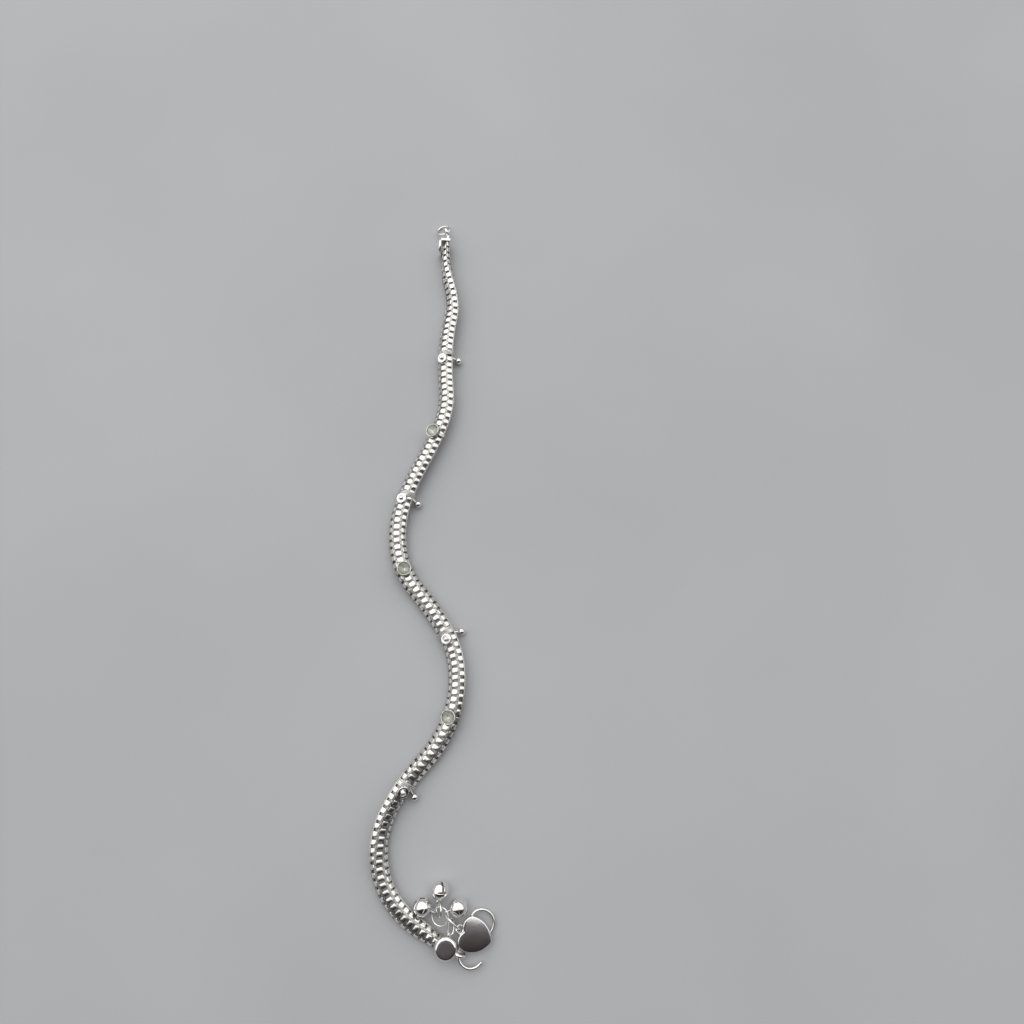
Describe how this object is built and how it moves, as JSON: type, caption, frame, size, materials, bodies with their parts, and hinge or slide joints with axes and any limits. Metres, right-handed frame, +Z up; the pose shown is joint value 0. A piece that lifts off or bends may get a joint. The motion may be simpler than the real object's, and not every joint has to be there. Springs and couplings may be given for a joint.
{
  "type": "payal anklet",
  "caption": "Silver mesh-chain anklet lying open, with set stones and drop balls along it, a ring at one end and an S-hook, heart charm and bells at the other",
  "frame": {"origin": "on the table, under the middle of the anklet's footprint", "axes": "+Z up from the table, +Y along the anklet toward its ring end, +X toward the side on which the drop balls and the S-hook lie"},
  "size_m": [0.035, 0.2242, 0.0064],
  "materials": {
    "mesh_silver": "bright white silver, pressed and polished plates",
    "polished_silver": "bright white silver, mirror polish",
    "wire_silver": "bright white silver wire, drawn and polished",
    "clear_stone": "pale clear cut stone with a silvered back"
  },
  "bodies": {
    "root": {"mesh_chain": "mesh_silver", "end_cap_ring_side": "polished_silver", "end_cap_hook_side": "polished_silver", "end_ring": "wire_silver", "s_hook": "wire_silver", "heart_charm": "polished_silver", "bell_1": "polished_silver", "bell_2": "polished_silver", "bell_3": "polished_silver", "bell_ring": "wire_silver", "bell_link": "wire_silver", "charm_ring": "wire_silver", "cap_link": "wire_silver", "drop_station_1": "polished_silver", "drop_station_2": "polished_silver", "drop_station_3": "polished_silver", "drop_station_4": "polished_silver", "drop_ball_1": "polished_silver", "drop_ball_2": "polished_silver", "drop_ball_3": "polished_silver", "drop_ball_4": "polished_silver", "bezel_1": "polished_silver", "bezel_2": "polished_silver", "bezel_3": "polished_silver", "stone_1": "clear_stone", "stone_2": "clear_stone", "stone_3": "clear_stone"}
  },
  "joints": []
}
